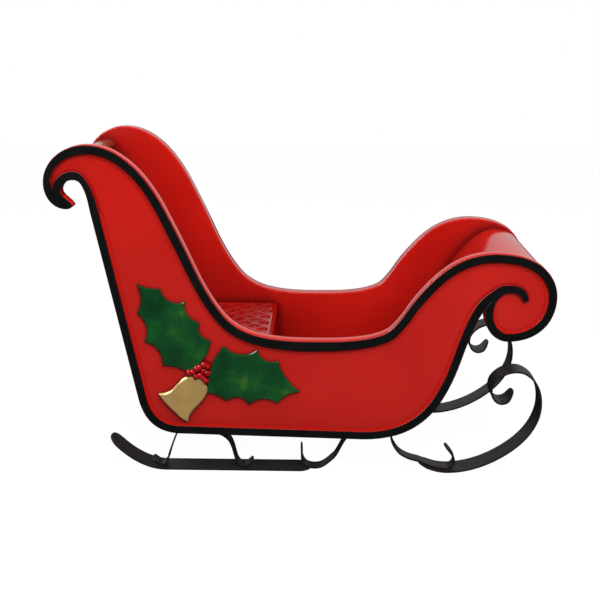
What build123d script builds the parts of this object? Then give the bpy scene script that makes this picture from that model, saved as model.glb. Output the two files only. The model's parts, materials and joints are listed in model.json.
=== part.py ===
"""Child's Christmas sleigh.

Two voluted side panels with raised trim carry a moulded seat body between them. Each side wears
a holly sprig with a bell, and flat iron straps form the runners and their scrolled supports.

X runs forward, Y to the rider's left and Z up. The origin is on the floor under the middle of
the bounding box. All sizes are in millimetres and all headings in degrees.
"""

import os
from math import atan2, cos, degrees, hypot, radians, sin

from build123d import *

# ---------------------------------------------------------------- overall sizes
length = 1377.0  # back curl to front scroll
height = 926.3  # floor to the crown of the back curl
body_width = 581.0  # over the faces of the raised trim
side_thickness = 38.0  # side panel without its trim
rim_round = 6.0  # rounding of the side panel's inner rim
trim_raise = 7.0  # trim above the painted field
trim_width = 24.0
trim_swell = 5.0  # extra trim width at the dip of the sides
trim_bevel = 1.5
step_raise = 1.6  # the low step that edges the trim on the field
step_width = 7.0

# ---------------------------------------------------------------- profile
dip_height = 392.5  # lowest point of the side's upper edge
dip_station = 25.0
scroll_height = 640.5  # top of the front scroll
scroll_base = 396.3  # underside of the front scroll
notch_height = 485.5  # where the scroll meets the prow
heel_setback = 343.5  # heel ahead of the back curl
heel_height = 118.3  # underside of the sides at the rear
belly_setback = 523.5  # front of the straight underside, behind the front scroll
belly_height = 106.3

# ---------------------------------------------------------------- seat body
wall = 15.0  # floor, back and dash
wall_inset = 3.0  # body walls behind the edge of the side panels
seat_height = 362.5  # floor to the seat top
seat_front = -91.0  # station of the seat's front edge
seat_board = 18.0
riser_board = 16.0
riser_setback = 4.0  # riser behind the seat's front edge

# ---------------------------------------------------------------- ornament
sprig_forward = 49.75  # berries ahead of the middle between the back curl and the dip
sprig_rise = 183.0  # berries above the heel
leaf_thickness = 7.0
leaf_bevel = 2.4
bell_thickness = 11.0
bell_bevel = 4.0
berry_radius = 10.0
berry_lift = 8.0  # berry centres above the painted field

# ---------------------------------------------------------------- ironwork
runner_width = 72.0
runner_thickness = 5.0
strut_width = 40.0
strut_thickness = 5.0
runner_inset = 53.5  # runner centre line inside the trim's outer face
strut_inset = 50.5  # strut centre line inside the trim's outer face
runner_tip_round = 34.0
strut_tip_round = 16.0

back_x = -length / 2
front_x = length / 2
field_y = body_width / 2 - trim_raise  # outer painted face of a side panel
inner_y = field_y - side_thickness  # inner face of a side panel
runner_line = body_width / 2 - runner_inset
strut_line = body_width / 2 - strut_inset
seat_under = seat_height - seat_board
inside = wall_inset + wall  # body walls' inner faces from the side's edge
heel_x = back_x + heel_setback
belly_x = front_x - belly_setback


# ---------------------------------------------------------------- flowing outlines
# A station is (x, z, heading, reach in, reach out): the outline passes through the point on that
# heading, and the reaches are the lengths of its two handles. A sixth value widens what is drawn
# beside the outline there. Each span is drawn with four tangent arcs, two on each side of its
# middle, so every wall of the finished piece is flat or cylindrical.


def along(heading):
    """The unit vector on a heading."""
    return Vector(cos(radians(heading)), sin(radians(heading)))


def arc(start, tangent, end):
    """One arc that leaves on the tangent, or a line where it would be straight."""
    if (end - start).cross(tangent).length < 1e-4:
        Line(start, end)
    else:
        TangentArc(start, end, tangent=tangent)


def arc_pair(start, leaving, end, arriving):
    """Two tangent arcs between two points, with the given unit vectors at their ends."""
    across = end - start
    both = leaving + arriving
    spread = 2 * (1 - leaving.dot(arriving))
    if spread < 1e-9:
        handle = across.dot(across) / (4 * across.dot(arriving))
    else:
        handle = ((across.dot(both) ** 2 + spread * across.dot(across)) ** 0.5 - across.dot(both)) / spread
    joint = (start + end + (leaving - arriving) * handle) / 2
    arc(start, leaving, joint)
    arc(joint, (end - arriving * handle - start - leaving * handle).normalized(), end)


def span(near, far):
    """The stretch of outline from one station to the next."""
    start, end = Vector(*near[:2]), Vector(*far[:2])
    leaving, arriving = along(near[2]), along(far[2])
    first, second = start + leaving * near[4], end - arriving * far[3]
    middle = (start + first * 3 + second * 3 + end) / 8
    passing = (end + second - first - start).normalized()
    arc_pair(start, leaving, middle, passing)
    arc_pair(middle, passing, end, arriving)


def is_straight(near, far):
    """Whether both headings lie along the line between two stations."""
    heading = degrees(atan2(far[1] - near[1], far[0] - near[0]))
    return all(abs((station[2] - heading + 180) % 360 - 180) < 0.01 for station in (near, far))


def flow(stations):
    """The outline through the stations."""
    for near, far in zip(stations, stations[1:]):
        if is_straight(near, far):
            Line(near[:2], far[:2])
        else:
            span(near, far)


def beside(stations, gap):
    """The stations of an outline that runs at a gap to the left, or to the right if negative."""
    moved = []
    for x, z, heading, reach_in, reach_out, *swell in stations:
        side_gap = gap + sum(swell) if gap > 0 else gap - sum(swell)
        turn = radians(heading)
        moved.append([x - side_gap * sin(turn), z + side_gap * cos(turn), heading, reach_in, reach_out])
    for i in range(len(stations) - 1):
        run = hypot(stations[i + 1][0] - stations[i][0], stations[i + 1][1] - stations[i][1])
        moved_run = hypot(moved[i + 1][0] - moved[i][0], moved[i + 1][1] - moved[i][1])
        moved[i][4] *= moved_run / run
        moved[i + 1][3] *= moved_run / run
    return [tuple(station) for station in moved]


def band(edge, other_edge):
    """The outline between two runs of stations that go the same way."""
    flow(edge)
    flow(other_edge)
    Line(edge[0][:2], other_edge[0][:2])
    Line(edge[-1][:2], other_edge[-1][:2])


def straight(a, b):
    """Heading and handle length of the straight run from a to b."""
    return degrees(atan2(b[1] - a[1], b[0] - a[0])), hypot(b[0] - a[0], b[1] - a[1]) / 3


# ---------------------------------------------------------------- side profile
# The crest runs from the tip of the back curl over the top of the side to the notch under the
# front scroll. The keel runs from the same tip round the hook, down the back, along the bottom
# and up the prow to the notch.

hook_root = (back_x + 123.7, height - 187.6)
heel_top = (heel_x - 112.8, heel_height + 103.5)
rake, rake_reach = straight(hook_root, heel_top)
slope, slope_reach = straight((heel_x, heel_height), (belly_x, belly_height))

crest = [
    (back_x + 58.5, height - 170.7, 180, 0, 37),
    (back_x, height - 102.7, 90, 35, 52, -0.8 * trim_swell),
    (back_x + 117, height, 0, 69, 128),
    (back_x + 361.4, height - 252.9, -64.9, 123, 97, 0.1 * trim_swell),
    (dip_station - 189, dip_height + 30.3, -27, 88, 60, 0.3 * trim_swell),
    (dip_station, dip_height, 0, 61, 60, trim_swell),
    (dip_station + 196.4, dip_height + 21.4, 22, 61, 41, 0.3 * trim_swell),
    (front_x - 378.5, scroll_height - 125.4, 51.5, 43, 95),
    (front_x - 169, scroll_height, 0, 90, 81),
    (front_x, scroll_height - 122, -90, 90, 74),
    (front_x - 126, scroll_base, -180, 73, 40),
    (front_x - 193.5, notch_height, -273, 51, 12),
]
keel = [
    (back_x + 73.9, height - 158.2, 125, 8, 20, -0.8 * trim_swell),
    (back_x + 44.5, height - 122, 90, 14, 16, -0.8 * trim_swell),
    (back_x + 81, height - 92.6, 0, 20, 31),
    (*hook_root, rake, 35, rake_reach),
    (*heel_top, rake, rake_reach, 60),
    (heel_x, heel_height, slope, 68, slope_reach),
    (belly_x, belly_height, slope, slope_reach, 135),
    (front_x - 264.8, notch_height - 186.6, 70, 140, 68),
    (front_x - 193.5, notch_height, 58, 64, 20, 0.3 * trim_swell),
]
# inside the scroll the keel's trim runs on and curls to a rounded tip
curl = [
    keel[-1],
    (front_x - 153.5, notch_height + 36, 40, 20, 12, 0.6 * trim_swell),
    (front_x - 125.5, notch_height + 48.5, 0, 14, 17, -0.4 * trim_swell),
    (front_x - 94.5, notch_height + 28, -78, 14, 0, -trim_swell),
]
curl_tip = 8.0  # how far the curl's rounded tip stands out
seam = [keel[-1], (*curl[1][:2], 8, 20, 0)]  # where the crest's trim meets the keel's

crest_inner = beside(crest, -trim_width)
keel_inner = beside(keel, trim_width)
keel_inner[0] = (*crest[0][:2], *keel_inner[0][2:])  # the trim closes the tail's tip
curl_inner = beside(curl, trim_width)

panel_plane = Plane.XZ.offset(inner_y)
field_plane = Plane.XZ.offset(field_y)


def tail_tip():
    """The rounded tip of the back curl."""
    span((*crest[0][:2], 0, 0, 10), (*keel[0][:2], keel[0][2], 8, 0))


def step_beside(stations, side):
    """The outline of the low step that edges the trim, on its left side or on its right (-1)."""
    band(beside(stations, side * (trim_width - trim_bevel)), beside(stations, side * (trim_width + step_width)))


# ---------------------------------------------------------------- right side panel and trim
with BuildPart() as side_panel:
    with BuildSketch(panel_plane):
        with BuildLine():
            flow(crest)
            flow(keel)
            tail_tip()
        make_face()
    extrude(amount=side_thickness)
    inner_rim = edges().group_by(Axis.Y)[-1]
    fillet(inner_rim.sort_by(Axis.Z)[-1], radius=rim_round)

with BuildPart() as lower_trim:
    with BuildSketch(field_plane):
        with BuildLine():
            flow(keel)
            flow(seam)
            flow(curl[1:])
            span((*curl[-1][:3], 0, curl_tip), (*curl_inner[-1][:2], curl_inner[-1][2] + 180, curl_tip, 0))
            flow(curl_inner)
            flow(keel_inner)
            tail_tip()
        make_face()
    extrude(amount=trim_raise)
    chamfer(faces().sort_by(Axis.Y)[0].edges(), length=trim_bevel)
    with BuildSketch(field_plane):
        with BuildLine():
            step_beside(keel[3:], 1)
        make_face()
    extrude(amount=step_raise)

with BuildPart() as upper_trim:
    with BuildSketch(field_plane):
        with BuildLine():
            flow(crest)
            flow(seam)
            span((*crest_inner[-1][:3], 0, 16), (*curl[1][:3], 16, 0))
            flow(crest_inner[1:])
            Line(crest_inner[1][:2], keel_inner[1][:2])
            flow(keel_inner[:2])
        make_face()
    extrude(amount=trim_raise)
    chamfer(faces().sort_by(Axis.Y)[0].edges(), length=trim_bevel)
    with BuildSketch(field_plane):
        with BuildLine():
            step_beside(crest[2:], -1)
        make_face()
    extrude(amount=step_raise)

# ---------------------------------------------------------------- seat body between the sides
outer_wall = beside(keel, wall_inset)
inner_wall = beside(keel, inside)
roll = [
    (*outer_wall[2][:2], 180, 0, 30),
    (back_x + 26.5, height - 66.3, 90, 20, 16),
    (back_x + 64.5, height - 38.8, 0, 26, 9),
    (back_x + 85.5, height - 58.3, -90, 11, 0),
]
dash = [
    (*inner_wall[7][:3], 0, 74),
    (front_x - 214.5, scroll_height - 118, 52, 84, 50),
    (front_x - 93.5, scroll_height - 31, 0, 50, 55),
    (front_x - 3.5, scroll_height - 122, -90, 58, 62),
    (front_x - 81.5, scroll_base + 8.7, -172, 52, 0),
]

with BuildPart() as back_panel:
    with BuildSketch(Plane.XZ):
        with BuildLine():
            flow(roll)
            Line(roll[-1][:2], inner_wall[2][:2])
            flow(inner_wall[2:5])
            Line(inner_wall[4][:2], outer_wall[4][:2])
            flow(outer_wall[2:5])
        make_face()
    extrude(amount=inner_y, both=True)

with BuildPart() as floor_panel:
    with BuildSketch(Plane.XZ):
        with BuildLine():
            band(outer_wall[4:8], inner_wall[4:8])
        make_face()
    extrude(amount=inner_y, both=True)

with BuildPart() as dash_panel:
    with BuildSketch(Plane.XZ):
        with BuildLine():
            band(dash, beside(dash, -wall))
        make_face()
    extrude(amount=inner_y, both=True)


def back_station(z):
    """Station of the back's front face at a height."""
    top, foot = inner_wall[3], inner_wall[4]
    return foot[0] + (z - foot[1]) * (top[0] - foot[0]) / (top[1] - foot[1])


def floor_height(x):
    """Height of the floor's upper face at a station of its straight run."""
    rear, front = inner_wall[5], inner_wall[6]
    return rear[1] + (x - rear[0]) * (front[1] - rear[1]) / (front[0] - rear[0])


with BuildPart() as seat_top:
    with BuildSketch(Plane.XZ):
        with BuildLine():
            Polyline(
                (back_station(seat_under), seat_under),
                (seat_front, seat_under),
                (seat_front, seat_height),
                (back_station(seat_height), seat_height),
                close=True,
            )
        make_face()
    extrude(amount=inner_y, both=True)

with BuildPart() as seat_riser:
    riser_front = seat_front - riser_setback
    riser_rear = riser_front - riser_board
    with BuildSketch(Plane.XZ):
        with BuildLine():
            Polyline(
                (riser_rear, floor_height(riser_rear)),
                (riser_front, floor_height(riser_front)),
                (riser_front, seat_under),
                (riser_rear, seat_under),
                close=True,
            )
        make_face()
    extrude(amount=inner_y, both=True)


# ---------------------------------------------------------------- ironwork
# Each strap is drawn along its under or outer face, from its top or rear end. Its ends are
# rounded in plan, and where it lands on the body or on a runner it is cut to seat there.


def under_side(x):
    """Height of the side's straight bottom edge at a station."""
    return heel_height + (x - heel_x) * (belly_height - heel_height) / (belly_x - heel_x)


def strap_face(x, heading, reach):
    """A station on the lower face of a strap that lies against the side's bottom edge."""
    return (x, under_side(x) - strut_thickness, heading, reach, reach)


def end_edges(station, tilt=0):
    """The open part's short edges across the strap at the end drawn from a station."""
    place = Vector(station[0], 0, station[1])
    return edges().filter_by(lambda edge: edge.length < 2 * strut_thickness).sort_by(
        lambda edge: (Vector(edge.center().X, 0, edge.center().Z) - place).length
    )[:2]


sole = [(heel_x - 206, 91, -48, 0, 76), (heel_x - 43, 0, 0, 60, 140), (belly_x - 139, 0, 0, 140, 0)]
sweep_tail = [(belly_x + 165, 22, -20, 0, 26), (belly_x + 247, 0, 0, 36, 48)]
sweep = [
    *sweep_tail,
    (front_x - 137.5, 40, 30, 48, 68),
    (front_x - 19, 206, 90, 77, 57),
    (front_x - 93, 305.5, 180, 40, 38),
    (front_x - 163, 249, 270, 27, 24),
    (front_x - 131, 207, 360, 18, 22),
    (front_x - 94.5, 240, 415, 22, 0),
]
rear_path = [
    strap_face(heel_x + 25, slope + 180, 9),
    strap_face(heel_x - 1, slope + 180, 10),
    (heel_x - 19, heel_height - 35, 249, 14, 16),
    (heel_x - 36, 33, 257, 16, 14),
    (heel_x - 57, 7.5, 178, 10, 12),
    (heel_x - 87, 28, 128, 12, 0),
]
middle_path = [
    strap_face(heel_x + 41, slope, 9),
    strap_face(heel_x + 69, slope, 16),
    (heel_x + 131, heel_height - 29, -47, 24, 12),
    (heel_x + 148, 48, -77, 18, 12),
    (heel_x + 177, runner_thickness, 0, 20, 12),
    (heel_x + 206, 26, 52, 12, 0),
]
front_path = [
    strap_face(belly_x - 1, slope + 180, 9),
    strap_face(belly_x - 27, slope + 180, 7),
    (belly_x - 48, belly_height - 26.5, 241, 16, 14),
    (belly_x - 76, 32.5, 222, 16, 16),
    (belly_x - 124, 3, 183, 20, 12),
    (belly_x - 149, 6.5, 162, 10, 8),
    (belly_x - 168.5, 38, 90, 16, 12),
    (belly_x - 169.5, 74, 91, 12, 0),
]
on_sweep = beside(sweep_tail, runner_thickness)
on_sweep[-1] = (*on_sweep[-1][:4], 12)  # the hanger leaves the sweep here
hanger_path = [
    (belly_x + 40, belly_height - 2.5, 6, 0, 10),
    (belly_x + 71, belly_height + 2.5, 8, 10, 8),
    (belly_x + 85.5, belly_height - 6.5, -88, 9, 14),
    (belly_x + 104, 58, -52, 15, 13),
    (belly_x + 133, 37, -26, 12, 10),
    *on_sweep,
    (belly_x + 271, 34, 100, 17, 14),
    (belly_x + 243, 77, 130, 16, 0),
]

with BuildPart() as runner_bar:
    with BuildSketch(Plane.XZ.offset(runner_line)):
        with BuildLine():
            band(sole, beside(sole, runner_thickness))
        make_face()
    extrude(amount=runner_width / 2, both=True)
    fillet(end_edges(sole[0]), radius=runner_tip_round)
    fillet(end_edges(sole[-1]), radius=runner_tip_round)

with BuildPart() as front_sweep:
    with BuildSketch(Plane.XZ.offset(runner_line)):
        with BuildLine():
            band(sweep, beside(sweep, runner_thickness))
        make_face()
    extrude(amount=runner_width / 2, both=True)
    fillet(end_edges(sweep[0]), radius=runner_tip_round)
    fillet(end_edges(sweep[-1]), radius=runner_tip_round)

with BuildPart() as rear_strut:
    with BuildSketch(Plane.XZ.offset(strut_line)):
        with BuildLine():
            band(rear_path, beside(rear_path, -strut_thickness))
        make_face()
    extrude(amount=strut_width / 2, both=True)
    fillet(end_edges(rear_path[-1]), radius=strut_tip_round)
    add(side_panel.part, mode=Mode.SUBTRACT)
    add(runner_bar.part, mode=Mode.SUBTRACT)

with BuildPart() as middle_strut:
    with BuildSketch(Plane.XZ.offset(strut_line)):
        with BuildLine():
            band(middle_path, beside(middle_path, strut_thickness))
        make_face()
    extrude(amount=strut_width / 2, both=True)
    fillet(end_edges(middle_path[-1]), radius=strut_tip_round)
    add(side_panel.part, mode=Mode.SUBTRACT)
    add(runner_bar.part, mode=Mode.SUBTRACT)

with BuildPart() as front_strut:
    with BuildSketch(Plane.XZ.offset(strut_line)):
        with BuildLine():
            band(front_path, beside(front_path, -strut_thickness))
        make_face()
    extrude(amount=strut_width / 2, both=True)
    fillet(end_edges(front_path[-1]), radius=strut_tip_round)
    add(side_panel.part, mode=Mode.SUBTRACT)
    add(runner_bar.part, mode=Mode.SUBTRACT)

with BuildPart() as front_hanger:
    with BuildSketch(Plane.XZ.offset(strut_line)):
        with BuildLine():
            band(hanger_path, beside(hanger_path, strut_thickness))
        make_face()
    extrude(amount=strut_width / 2, both=True)
    fillet(end_edges(hanger_path[-1]), radius=strut_tip_round)
    add(side_panel.part, mode=Mode.SUBTRACT)
    add(front_sweep.part, mode=Mode.SUBTRACT)

# ---------------------------------------------------------------- holly, bell and berries
# The sprig's outlines are drawn about the berries, on the painted field.
sprig_x = (back_x + dip_station) / 2 + sprig_forward
sprig = Plane(origin=(sprig_x, -field_y, heel_height + sprig_rise), x_dir=(1, 0, 0), z_dir=(0, -1, 0))


def scallops(points):
    """The outline of a holly leaf, whose points alternate a prickle and the hollow after it."""
    starts = range(0, len(points), 2)
    prickles = points[2::2] + points[:1]
    for i, prickle in zip(starts, prickles):
        ThreePointArc(points[i], points[i + 1], prickle)


upper_leaf = [
    *((-168, 248.5), (-135, 237.5), (-104, 235.5), (-90, 207.5), (-38, 201.5), (-31, 161.5)),
    *((1, 140.5), (4, 104.5), (31, 90.5), (12, 40.5), (-30, -1.5), (-65, 12.5)),
    *((-105, 18.5), (-115, 62.5), (-153, 85.5), (-145, 125.5), (-170, 166.5), (-158, 201.5)),
]
lower_leaf = [
    *((66, 75.5), (122, 50.5), (158, 65.5), (172, 39.5), (216, 33.5), (230, -4.5)),
    *((276, -55.5), (237, -68.5), (213, -90.5), (172, -77.5), (135, -95.5), (104, -73.5)),
    *((72, -84.5), (44, -68.5), (19, -60.5), (36, 27.5)),
]
bell_rim = [
    (-118.5, -65, 10, 0, 12),
    (-92, -59.5, 24, 10, 16),
    (-54, -24, 42, 22, 14),
    (-27, -13.5, 0, 14, 14),
    (18, -44, 285, 26, 16),
    (-8, -97.5, 226, 24, 16),
    (-38, -147, 262, 26, 0),
]
bell_lip = [(-118.5, -65, -62, 0, 12), (-74, -120, -45, 40, 20), (-38, -147, -15, 16, 0)]
berry_places = [(-20, -0.5), (0, 14.5), (20, 24.5), (20.5, -2.5), (-0.5, -9), (15.5, -24.5), (10, 4)]

with BuildPart() as holly_leaf_upper:
    with BuildSketch(sprig):
        with BuildLine():
            scallops(upper_leaf)
        make_face()
    extrude(amount=leaf_thickness)
    chamfer(faces().sort_by(Axis.Y)[0].edges(), length=leaf_bevel)

with BuildPart() as holly_leaf_lower:
    with BuildSketch(sprig):
        with BuildLine():
            scallops(lower_leaf)
        make_face()
    extrude(amount=leaf_thickness)
    chamfer(faces().sort_by(Axis.Y)[0].edges(), length=leaf_bevel)

with BuildPart() as bell:
    with BuildSketch(sprig):
        with BuildLine():
            flow(bell_rim)
            flow(bell_lip)
        make_face()
    extrude(amount=bell_thickness)
    chamfer(faces().sort_by(Axis.Y)[0].edges(), length=bell_bevel)
    add(holly_leaf_upper.part, mode=Mode.SUBTRACT)
    add(holly_leaf_lower.part, mode=Mode.SUBTRACT)

with BuildPart() as berry:
    with BuildSketch(Plane.XZ):
        with BuildLine():
            Polyline(
                (0, 0),
                (berry_radius, 0),
                (berry_radius, berry_lift + 0.2 * berry_radius),
                (0.7 * berry_radius, berry_lift + 0.8 * berry_radius),
                (0, berry_lift + berry_radius),
                close=True,
            )
        make_face()
    revolve(axis=Axis.Z)

with BuildPart() as berries:
    with Locations(*(sprig.location * Location((x, z, 0)) for x, z in berry_places)):
        add(berry.part)
    add(holly_leaf_upper.part, mode=Mode.SUBTRACT)
    add(holly_leaf_lower.part, mode=Mode.SUBTRACT)
    add(bell.part, mode=Mode.SUBTRACT)

# ---------------------------------------------------------------- labels, left side and files
os.makedirs("parts", exist_ok=True)

for name, piece in {
    "back_panel": back_panel,
    "floor_panel": floor_panel,
    "dash_panel": dash_panel,
    "seat_top": seat_top,
    "seat_riser": seat_riser,
}.items():
    piece.part.label = name
    export_step(piece.part, f"parts/{name}.step")

for name, right in {
    "side_panel": side_panel,
    "upper_trim": upper_trim,
    "lower_trim": lower_trim,
    "holly_leaf_upper": holly_leaf_upper,
    "holly_leaf_lower": holly_leaf_lower,
    "bell": bell,
    "berries": berries,
    "runner_bar": runner_bar,
    "rear_strut": rear_strut,
    "middle_strut": middle_strut,
    "front_strut": front_strut,
    "front_hanger": front_hanger,
    "front_sweep": front_sweep,
}.items():
    with BuildPart() as left:
        mirror(right.part, about=Plane.XZ)
    right.part.label = f"{name}_right"
    left.part.label = f"{name}_left"
    export_step(right.part, f"parts/{name}_right.step")
    export_step(left.part, f"parts/{name}_left.step")
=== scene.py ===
import json
import math

import bmesh
import bpy
from mathutils import Matrix, Vector


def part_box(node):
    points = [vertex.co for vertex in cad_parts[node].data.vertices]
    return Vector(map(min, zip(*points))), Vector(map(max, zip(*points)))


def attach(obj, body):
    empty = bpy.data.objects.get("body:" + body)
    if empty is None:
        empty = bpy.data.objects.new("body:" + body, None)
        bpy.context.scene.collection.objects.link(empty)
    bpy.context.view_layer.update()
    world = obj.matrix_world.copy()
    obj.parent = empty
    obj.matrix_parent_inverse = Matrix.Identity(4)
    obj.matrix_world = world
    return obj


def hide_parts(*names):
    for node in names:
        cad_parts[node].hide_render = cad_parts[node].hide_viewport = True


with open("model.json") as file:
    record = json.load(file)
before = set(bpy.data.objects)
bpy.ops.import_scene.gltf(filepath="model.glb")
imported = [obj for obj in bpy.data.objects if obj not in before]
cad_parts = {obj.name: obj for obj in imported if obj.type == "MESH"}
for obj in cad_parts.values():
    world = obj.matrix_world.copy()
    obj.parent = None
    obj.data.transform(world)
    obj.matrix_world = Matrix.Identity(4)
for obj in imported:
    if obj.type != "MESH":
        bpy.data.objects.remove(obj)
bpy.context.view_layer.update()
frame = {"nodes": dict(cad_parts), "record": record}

# Lengths are in metres, and colours are sRGB from 0 to 255.
nodes = frame["nodes"]
scene = bpy.context.scene


# ------------------------------------------------------------------ material helpers
def linear(red, green, blue):
    """An sRGB colour given in 0 to 255 as linear RGBA."""
    steps = [c / 255 for c in (red, green, blue)]
    return [c / 12.92 if c <= 0.04045 else ((c + 0.055) / 1.055) ** 2.4 for c in steps] + [1.0]


class Material:
    """A node material with one Principled shader and short calls for the nodes behind it."""

    def __init__(self, name, roughness, metallic=0.0, specular=0.5):
        self.material = bpy.data.materials.new(name)
        self.material.use_nodes = True
        self.tree = self.material.node_tree
        self.shader = self.tree.nodes["Principled BSDF"]
        self.shader.inputs["Roughness"].default_value = roughness
        self.shader.inputs["Metallic"].default_value = metallic
        self.shader.inputs["Specular IOR Level"].default_value = specular
        self.position = self.node("ShaderNodeTexCoord").outputs["Object"]

    def node(self, kind, **settings):
        new = self.tree.nodes.new(kind)
        for key, value in settings.items():
            setattr(new, key, value)
        return new

    def link(self, source, target):
        self.tree.links.new(source, target)

    def noise(self, scale, detail, roughness=0.5, stretch=(1, 1, 1)):
        """A noise value over the object's own space, with an optional stretch."""
        mapping = self.node("ShaderNodeMapping")
        mapping.inputs["Scale"].default_value = stretch
        self.link(self.position, mapping.inputs["Vector"])
        noise = self.node("ShaderNodeTexNoise")
        noise.inputs["Scale"].default_value = scale
        noise.inputs["Detail"].default_value = detail
        noise.inputs["Roughness"].default_value = roughness
        self.link(mapping.outputs["Vector"], noise.inputs["Vector"])
        return noise.outputs["Fac"]

    def ramp(self, value, stops):
        """Colours, or greys, over a value."""
        ramp = self.node("ShaderNodeValToRGB")
        elements = ramp.color_ramp.elements
        while len(elements) < len(stops):
            elements.new(0.5)
        for element, (place, colour) in zip(elements, stops):
            element.position = place
            element.color = colour if isinstance(colour, list) else [colour] * 3 + [1.0]
        self.link(value, ramp.inputs["Fac"])
        return ramp.outputs["Color"]

    def maths(self, operation, *values):
        """One Math node over values and numbers."""
        step = self.node("ShaderNodeMath", operation=operation)
        for value, socket in zip(values, step.inputs):
            if isinstance(value, (int, float)):
                socket.default_value = value
            else:
                self.link(value, socket)
        return step.outputs[0]

    def weighted(self, first, share, second, other_share):
        """The sum of two values, each times its share."""
        first_part = self.maths("MULTIPLY", first, share)
        return self.maths("ADD", first_part, self.maths("MULTIPLY", second, other_share))

    def place(self):
        """The place's own X, Y and Z."""
        split = self.node("ShaderNodeSeparateXYZ")
        self.link(self.position, split.inputs[0])
        return split.outputs

    def sideways(self):
        """Distance from the sleigh's middle plane."""
        return self.maths("ABSOLUTE", self.place()["Y"])

    def near(self, centre, radius):
        """1 within a radius of a point of the side view, else 0."""
        across = self.maths("SUBTRACT", self.place()["X"], centre[0])
        up = self.maths("SUBTRACT", self.place()["Z"], centre[1])
        across_squared = self.maths("MULTIPLY", across, across)
        square = self.maths("ADD", across_squared, self.maths("MULTIPLY", up, up))
        return self.maths("LESS_THAN", square, radius**2)

    def mix(self, share, first, second):
        """Two colours mixed by a share."""
        blend = self.node("ShaderNodeMix", data_type="RGBA")
        self.link(share, blend.inputs["Factor"])
        for value, socket in ((first, blend.inputs["A"]), (second, blend.inputs["B"])):
            if isinstance(value, list):
                socket.default_value = value
            else:
                self.link(value, socket)
        return blend.outputs["Result"]

    def shelter(self, distance):
        """How open a place is within a distance, from 0 in a tight corner to 1."""
        open_share = self.node("ShaderNodeAmbientOcclusion", samples=8)
        open_share.inputs["Distance"].default_value = distance
        return open_share.outputs["AO"]

    def colour(self, value):
        self.link(value, self.shader.inputs["Base Color"])

    def rough(self, value):
        self.link(value, self.shader.inputs["Roughness"])

    def bump(self, height, strength, distance):
        bump = self.node("ShaderNodeBump")
        bump.inputs["Strength"].default_value = strength
        bump.inputs["Distance"].default_value = distance
        self.link(height, bump.inputs["Height"])
        self.link(bump.outputs["Normal"], self.shader.inputs["Normal"])


# ------------------------------------------------------------------ red lacquer of the body
trim_low, trim_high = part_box("upper_trim_right")
trim_face = abs(trim_low.y)  # the trim's outer face, from the middle plane
hook = (trim_low.x + 0.088, trim_high.z - 0.168)  # the hollow under the back curl
hook_radius = 0.05  # no painted shade inside it, on the lacquer or on the trim's walls

red = Material("red_lacquer", roughness=0.2)
lacquer = red.ramp(red.noise(3.5, 2), [(0.35, linear(187, 24, 17)), (0.65, linear(196, 29, 21))])
open_hook = red.near(hook, hook_radius)

# painted shade: darker close to a ledge, and darker again deep down inside the body, where shade
# falls
ledge_shade_reach, body_shade_reach = 0.035, 0.3
ledge = red.ramp(red.shelter(ledge_shade_reach), [(0.5, 0.0), (0.94, 1.0)])
ledge_shaded_lacquer = red.mix(red.maths("MAXIMUM", ledge, open_hook), linear(105, 9, 8), lacquer)
body_shade_mask = red.ramp(red.shelter(body_shade_reach), [(0.3, 0.0), (0.88, 1.0)])
body_shade_mask = red.maths("MAXIMUM", body_shade_mask, open_hook)
painted = red.mix(body_shade_mask, linear(112, 9, 8), ledge_shaded_lacquer)

# painted reflection: the roll between the panels is painted grey at one end and brown at the other
back_low, back_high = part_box("back_panel")
roll_radius, roll_reach = 0.028, 0.034
roll = red.near((back_low.x + roll_radius, back_high.z - roll_radius), roll_reach)
roll = red.maths("MULTIPLY", roll, red.maths("LESS_THAN", red.sideways(), back_high.y))
along_roll = red.weighted(red.place()["Y"], 0.5 / back_high.y, red.noise(30, 3), 1.0)
roll_reflection_shades = [(0.05, linear(150, 143, 122)), (0.5, linear(132, 92, 68)), (0.9, linear(128, 52, 34))]
red.colour(red.mix(roll, painted, red.ramp(along_roll, roll_reflection_shades)))
red.rough(red.ramp(red.noise(9, 3), [(0.3, 0.11), (0.7, 0.17)]))

# sanded edges: the rim's paint rolls over towards both faces of a side
side_low, side_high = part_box("side_panel_left")
outer_roll, inner_roll = 0.0135, 0.0065  # how far in from each face it starts
fall_rate = -33  # height lost per squared distance
outer = red.maths("SUBTRACT", red.sideways(), side_high.y - outer_roll)
outer = red.maths("MAXIMUM", outer, 0)
inner = red.maths("SUBTRACT", side_low.y + inner_roll, red.sideways())
inner = red.maths("MINIMUM", red.maths("MAXIMUM", inner, 0), inner_roll)
outer_fall, inner_fall = red.maths("POWER", outer, 2), red.maths("POWER", inner, 2)
fall = red.weighted(outer_fall, fall_rate, inner_fall, fall_rate)
ripple = 0.0001  # unevenness of the lacquer
red.bump(red.weighted(red.noise(42, 2), ripple, fall, 1), 1.0, 1.0)

# ------------------------------------------------------------------ the other paints and metals
seat_red = Material("seat_lacquer", roughness=0.11)
seat_shades = [(0.35, linear(140, 11, 9)), (0.65, linear(156, 13, 10))]
seat_paint = seat_red.ramp(seat_red.noise(8, 2), seat_shades)
seat_shade_reach = 0.02  # how far the painted shade of the sunken diamonds looks for shelter
# painted shade: darker down in the sunken diamonds
seat_shade_mask = seat_red.ramp(seat_red.shelter(seat_shade_reach), [(0.45, 0.0), (0.95, 1.0)])
seat_red.colour(seat_red.mix(seat_shade_mask, linear(88, 7, 7), seat_paint))

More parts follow.
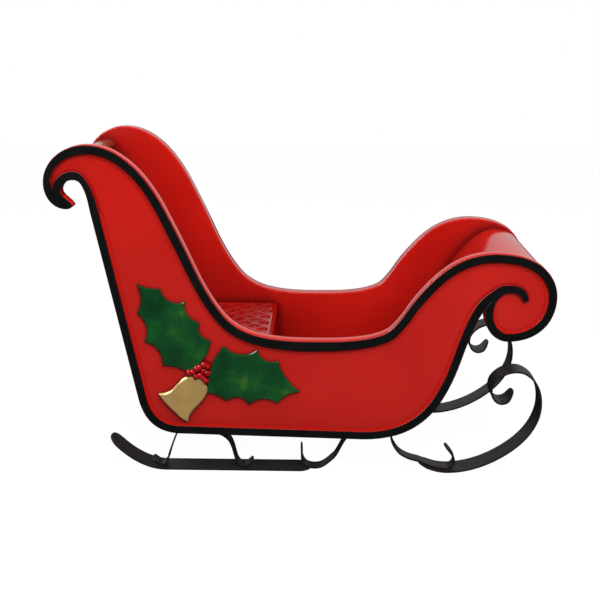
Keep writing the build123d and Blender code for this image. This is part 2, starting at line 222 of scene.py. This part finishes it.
# the trim is black on its face only: its walls and the step behind them are red
black = Material("black_trim", roughness=0.42, specular=0.22)
black_shades = [(0.35, linear(7, 10, 10)), (0.7, linear(13, 16, 16))]
black_paint = black.ramp(black.noise(18, 3), black_shades)
face_depth = 0.0002  # how far black runs down the walls
joint_depth = 0.0016  # and how much further where the trims run together
step_depth = 0.0053  # where the wall ends and the step starts
back_curl = black.near((trim_low.x + 0.044, trim_high.z - 0.139), 0.046)
scroll_root = black.near((trim_high.x - 0.174, trim_high.z - 0.423), 0.027)
joint = black.maths("MULTIPLY", black.maths("MAXIMUM", back_curl, scroll_root), joint_depth)
black_from = black.maths("SUBTRACT", trim_face - face_depth, joint)
# painted shade: the trim's walls are painted a darker red than the step, except in the hollow under
# the back curl
wall = black.maths("GREATER_THAN", black.sideways(), trim_face - step_depth)
wall = black.maths("SUBTRACT", wall, black.near(hook, hook_radius))
shaded_red_sides = black.mix(wall, linear(190, 24, 17), linear(148, 15, 11))
on_face = black.maths("GREATER_THAN", black.sideways(), black_from)
black.colour(black.mix(on_face, shaded_red_sides, black_paint))
black.rough(black.ramp(black.noise(25, 3), [(0.3, 0.36), (0.7, 0.48)]))
black.bump(black.noise(120, 2), 0.08, 0.001)

vein_gap = 0.019  # between a leaf's side veins, along its midrib
vein_lean = -0.75  # how far they lean towards the tip as they run outwards
midrib_share = 0.7  # below 1, the midrib is wider than the side veins
vein_scale = 100  # ramp steps per metre off a vein
leaf_shades = [
    (0.3, linear(5, 54, 22)),
    (0.52, linear(10, 70, 30)),
    (0.66, linear(22, 84, 32)),
    (0.78, linear(74, 112, 26)),
]


def holly(name, base, tip):
    """Leaf paint with a faint midrib from base to tip, and side veins that lean to the tip."""
    leaf = Material(name, roughness=0.16, specular=0.4)
    run, rise = tip[0] - base[0], tip[1] - base[1]
    reach = math.hypot(run, rise)
    x = leaf.maths("SUBTRACT", leaf.place()["X"], base[0])
    z = leaf.maths("SUBTRACT", leaf.place()["Z"], base[1])
    along = leaf.weighted(x, run / reach, z, rise / reach)
    across = leaf.maths("ABSOLUTE", leaf.weighted(x, -rise / reach, z, run / reach))
    side = leaf.maths("PINGPONG", leaf.weighted(along, 1, across, vein_lean), vein_gap)
    rib = leaf.maths("MINIMUM", leaf.maths("MULTIPLY", across, midrib_share), side)
    vein = leaf.ramp(leaf.maths("MULTIPLY", rib, vein_scale), [(0.0, 1.0), (0.24, 0.0)])
    mottle = leaf.ramp(leaf.noise(15, 3), leaf_shades)
    leaf.colour(leaf.mix(leaf.maths("MULTIPLY", vein, 0.35), mottle, linear(6, 46, 22)))
    height = leaf.maths("SUBTRACT", leaf.noise(40, 3), leaf.maths("MULTIPLY", vein, 0.5))
    leaf.bump(height, 0.35, 0.002)
    return leaf


leaf_low, leaf_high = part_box("holly_leaf_upper_right")
upper_base, upper_tip = (leaf_high.x - 0.035, leaf_low.z), (leaf_low.x, leaf_high.z)
upper_green = holly("holly_green_upper", upper_base, upper_tip)
leaf_low, leaf_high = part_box("holly_leaf_lower_right")
lower_base, lower_tip = (leaf_low.x, leaf_high.z - 0.07), (leaf_high.x, leaf_low.z + 0.04)
lower_green = holly("holly_green_lower", lower_base, lower_tip)

gold = Material("bell_gold", roughness=0.26, metallic=0.3, specular=0.8)
gold_shades = [(0.3, linear(186, 152, 88)), (0.7, linear(202, 168, 104))]
gold.colour(gold.ramp(gold.noise(22, 3), gold_shades))
gold.bump(gold.noise(80, 2), 0.1, 0.001)

berry = Material("berry_red", roughness=0.08)
berry_shades = [(0.3, linear(150, 6, 16)), (0.7, linear(176, 12, 22))]
berry.colour(berry.ramp(berry.noise(40, 2), berry_shades))

iron = Material("black_iron", roughness=0.45, specular=0.25)
brushed = iron.noise(90, 3, roughness=0.6, stretch=(0.25, 1.6, 0.25))
iron.colour(iron.ramp(brushed, [(0.3, linear(22, 19, 19)), (0.7, linear(38, 33, 32))]))
iron.rough(iron.ramp(brushed, [(0.3, 0.36), (0.7, 0.52)]))
iron.bump(brushed, 0.1, 0.001)

slot_materials = {
    "red_body": red,
    "red_seat": seat_red,
    "black_trim": black,
    "holly_green": upper_green,
    "bell_gold": gold,
    "berry_red": berry,
    "black_iron": iron,
}
own_materials = {"holly_leaf_lower_right": lower_green, "holly_leaf_lower_left": lower_green}
for subpart in frame["record"]["subparts"]:
    slot_material = slot_materials[subpart["material_slot"]]
    mesh = nodes[subpart["node"]].data
    mesh.materials.clear()
    mesh.materials.append(own_materials.get(subpart["node"], slot_material).material)


# ------------------------------------------------------------------ pieces that stand for CAD nodes
def finished(name, shape, paint, slot, *nodes_replaced):
    """A smooth piece from a bmesh, fixed to the sleigh and standing for CAD nodes."""
    bmesh.ops.recalc_face_normals(shape, faces=shape.faces)
    mesh = bpy.data.meshes.new(name)
    shape.to_mesh(mesh)
    shape.free()
    piece = bpy.data.objects.new(name, mesh)
    scene.collection.objects.link(piece)
    mesh.materials.append(paint.material)
    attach(piece, "root")
    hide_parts(*nodes_replaced)
    return piece


def widened(shape, rim, middle, span, growth, drop):
    """A rectangular rim of edges carried outwards and down, and its new edges."""
    made = bmesh.ops.extrude_edge_only(shape, edges=rim)["geom"]
    corners = [part for part in made if isinstance(part, bmesh.types.BMVert)]
    grown = ((span.x + 2 * growth) / span.x, (span.y + 2 * growth) / span.y, 1)
    bmesh.ops.scale(shape, vec=grown, space=Matrix.Translation(-middle), verts=corners)
    bmesh.ops.translate(shape, vec=(0, 0, -drop), verts=corners)
    return [part for part in made if isinstance(part, bmesh.types.BMEdge)]


# the seat's top is a net of raised ridges round sunken diamonds, with a plain flange
flange = 0.0155
ridge_x, ridge_y = 0.06, 0.068  # between ridges, along and across the sleigh
sink = 0.0078  # depth of the diamonds
ridge_top, ridge_side = 0.2, 0.5  # shares of a cell that are flat ridge and sloping wall
border_fade = 0.007  # the pattern dies out over this distance from the flange
ledge_width, slope_drop = 0.0045, 0.0085  # the flange's flat part, then its slope down
nose_width, nose_drop = 0.002, 0.004  # and the edge's round nose

seat_low, seat_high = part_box("seat_top")
seat_middle = (seat_low + seat_high) / 2
seat_size = seat_high - seat_low
net = Vector((seat_size.x - 2 * flange, seat_size.y - 2 * flange, 0))
seat_shape = bmesh.new()
bmesh.ops.create_grid(seat_shape, x_segments=110, y_segments=150, size=0.5)
bmesh.ops.scale(seat_shape, vec=(net.x, net.y, 1), verts=seat_shape.verts)
seat_place = (seat_middle.x, seat_middle.y, seat_high.z)
bmesh.ops.translate(seat_shape, vec=seat_place, verts=seat_shape.verts)
for vertex in seat_shape.verts:
    along = math.pi * (vertex.co.x - seat_high.x) / ridge_x
    across = math.pi * vertex.co.y / ridge_y
    from_ridge = min(abs(math.sin(along + across)), abs(math.sin(along - across)))
    slope = min(max((from_ridge - ridge_top) / ridge_side, 0), 1)
    from_end = net.x / 2 - abs(vertex.co.x - seat_middle.x)
    from_edge = min(from_end, net.y / 2 - abs(vertex.co.y)) / border_fade
    vertex.co.z -= sink * slope * slope * (3 - 2 * slope) * min(from_edge, 1)
for face in seat_shape.faces:
    face.smooth = True
net_faces = len(seat_shape.faces)
rim = [edge for edge in seat_shape.edges if edge.is_boundary]
rim = widened(seat_shape, rim, seat_middle, net, ledge_width, 0)
ledge_span = net + Vector((2 * ledge_width, 2 * ledge_width, 0))
slope_width = flange - ledge_width - nose_width
rim = widened(seat_shape, rim, seat_middle, ledge_span, slope_width, slope_drop)
nose_span = seat_size - Vector((2 * nose_width, 2 * nose_width, 0))
rim = widened(seat_shape, rim, seat_middle, nose_span, nose_width, nose_drop)
wall_height = seat_size.z - slope_drop - nose_drop
rim = widened(seat_shape, rim, seat_middle, seat_size, 0, wall_height)
bmesh.ops.holes_fill(seat_shape, edges=rim, sides=0)
seat_shape.faces.ensure_lookup_table()
for face in seat_shape.faces[net_faces:]:
    face.smooth = False
finished("quilted_seat", seat_shape, seat_red, "red_seat", "seat_top")

# berries as round beads on the field, a few more than the plain cluster has
bead_places = [  # ahead of and above the cluster's centre
    (-0.031, -0.0015),
    (-0.0195, 0.0005),
    (0.0, 0.0145),
    (0.011, 0.022),
    (0.021, 0.0165),
    (0.0205, -0.0025),
    (-0.0005, -0.009),
    (0.0155, -0.0245),
    (0.010, 0.004),
    (-0.0095, 0.0105),
    (0.008, -0.0165),
    (-0.012, -0.0125),
]
bead_radius, large_bead_radius = 0.0088, 0.0096  # every third bead is a large one
bead_stagger = 0.0014  # every second bead stands this much further out
for side, outwards in (("right", -1), ("left", 1)):
    _, cluster_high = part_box(f"berries_{side}")
    centre = Vector((cluster_high.x - 0.0305, outwards * trim_face, cluster_high.z - 0.0345))
    bead_shape = bmesh.new()
    for number, (ahead, up) in enumerate(bead_places):
        bead = bmesh.ops.create_uvsphere(
            bead_shape,
            u_segments=24,
            v_segments=14,
            radius=bead_radius if number % 3 else large_bead_radius,
        )["verts"]
        shift = Vector((ahead, outwards * (bead_stagger if number % 2 else 0.0), up))
        bmesh.ops.translate(bead_shape, vec=centre + shift, verts=bead)
    cluster = finished(f"berry_cluster_{side}", bead_shape, berry, "berry_red", f"berries_{side}")
    cluster.data.shade_smooth()

# ------------------------------------------------------------------ edges of the hard parts
trim_edge, iron_edge = 0.0012, 0.0006
for name, node in nodes.items():
    if any(word in name for word in ("trim", "strut", "hanger", "sweep", "runner")):
        bevel = node.modifiers.new("soft_edges", "BEVEL")
        bevel.width = trim_edge if "trim" in name else iron_edge
        bevel.segments = 2
        bevel.limit_method = "ANGLE"
        bevel.angle_limit = math.radians(50)

# ------------------------------------------------------------------ floor, lights and camera
floor = bpy.data.objects.new("floor", bpy.data.meshes.new("floor"))
scene.collection.objects.link(floor)
floor_shape = bmesh.new()
bmesh.ops.create_grid(floor_shape, x_segments=1, y_segments=1, size=8)
floor_shape.to_mesh(floor.data)
floor_shape.free()

# the floor looks white, throws little light back and takes the sleigh's shadow faintly
glow_strength, glow_share = 1.05, 0.93
pale = Material("pale_floor", roughness=0.9, specular=0.0)
seen_directly = pale.node("ShaderNodeLightPath").outputs["Is Camera Ray"]
pale.colour(pale.mix(seen_directly, linear(92, 92, 92), linear(245, 245, 245)))
glow = pale.node("ShaderNodeEmission")
glow.inputs["Strength"].default_value = glow_strength
blend = pale.node("ShaderNodeMixShader")
pale.link(pale.maths("MULTIPLY", seen_directly, glow_share), blend.inputs[0])
pale.link(pale.shader.outputs[0], blend.inputs[1])
pale.link(glow.outputs[0], blend.inputs[2])
pale.link(blend.outputs[0], pale.tree.nodes["Material Output"].inputs["Surface"])
floor.data.materials.append(pale.material)

# a white backdrop behind the sleigh, and a dim room on the key lamp's side
world = bpy.data.worlds.new("studio")
scene.world = world
world.use_nodes = True
sky = world.node_tree
facing = sky.nodes.new("ShaderNodeSeparateXYZ")
sky.links.new(sky.nodes.new("ShaderNodeTexCoord").outputs["Generated"], facing.inputs[0])
strength = sky.nodes.new("ShaderNodeMapRange")
strength.interpolation_type = "SMOOTHSTEP"
for socket, value in (("From Min", 0.4), ("From Max", 0.85), ("To Min", 0.16), ("To Max", 0.64)):
    strength.inputs[socket].default_value = value
sky.links.new(facing.outputs["Y"], strength.inputs["Value"])
room = sky.nodes["Background"]
room.inputs["Color"].default_value = (1, 1, 1, 1)
sky.links.new(strength.outputs["Result"], room.inputs["Strength"])
backdrop = sky.nodes.new("ShaderNodeBackground")
backdrop.inputs["Color"].default_value = (1, 1, 1, 1)
backdrop.inputs["Strength"].default_value = 1.0
ray = sky.nodes.new("ShaderNodeLightPath")
sky_mix = sky.nodes.new("ShaderNodeMixShader")
sky.links.new(ray.outputs["Is Camera Ray"], sky_mix.inputs[0])
sky.links.new(room.outputs[0], sky_mix.inputs[1])
sky.links.new(backdrop.outputs[0], sky_mix.inputs[2])
sky.links.new(sky_mix.outputs[0], sky.nodes["World Output"].inputs["Surface"])


def area_light(name, place, target, size, power, mirrored=True, lighting=True):
    """A soft square lamp that faces a point. Gloss may show it, and it may light matt paint."""
    lamp = bpy.data.lights.new(name, "AREA")
    lamp.size = size
    lamp.energy = power
    light = bpy.data.objects.new(name, lamp)
    light.location = place
    light.rotation_euler = (Vector(target) - Vector(place)).to_track_quat("-Z", "Y").to_euler()
    light.visible_glossy = mirrored
    light.visible_diffuse = lighting
    scene.collection.objects.link(light)


area_light("key", (0.5, -2.6, 2.9), (0.05, -0.2, 0.45), 2.4, 150, mirrored=False)
area_light("top", (-0.3, -0.8, 3.1), (0, 0, 0.4), 1.3, 27, mirrored=False)
area_light("glint", (-2.6, -1.15, 2.6), (-0.33, -0.29, 0.2), 1.9, 115, lighting=False)

camera_data = bpy.data.cameras.new("camera")
camera_data.sensor_width = 36.0
camera_data.lens = 61.8
camera = bpy.data.objects.new("camera", camera_data)
right_axis = Vector((0.99961, 0.02797, 0.00033))
up_axis = Vector((-0.00745, 0.25479, 0.96697))
back_axis = right_axis.cross(up_axis)
turn = Matrix((right_axis, up_axis, back_axis)).transposed()
camera.matrix_world = Matrix.Translation((0.0701, -2.9911, 1.2227)) @ turn.to_4x4()
scene.collection.objects.link(camera)
scene.camera = camera

scene.view_settings.view_transform = "Standard"
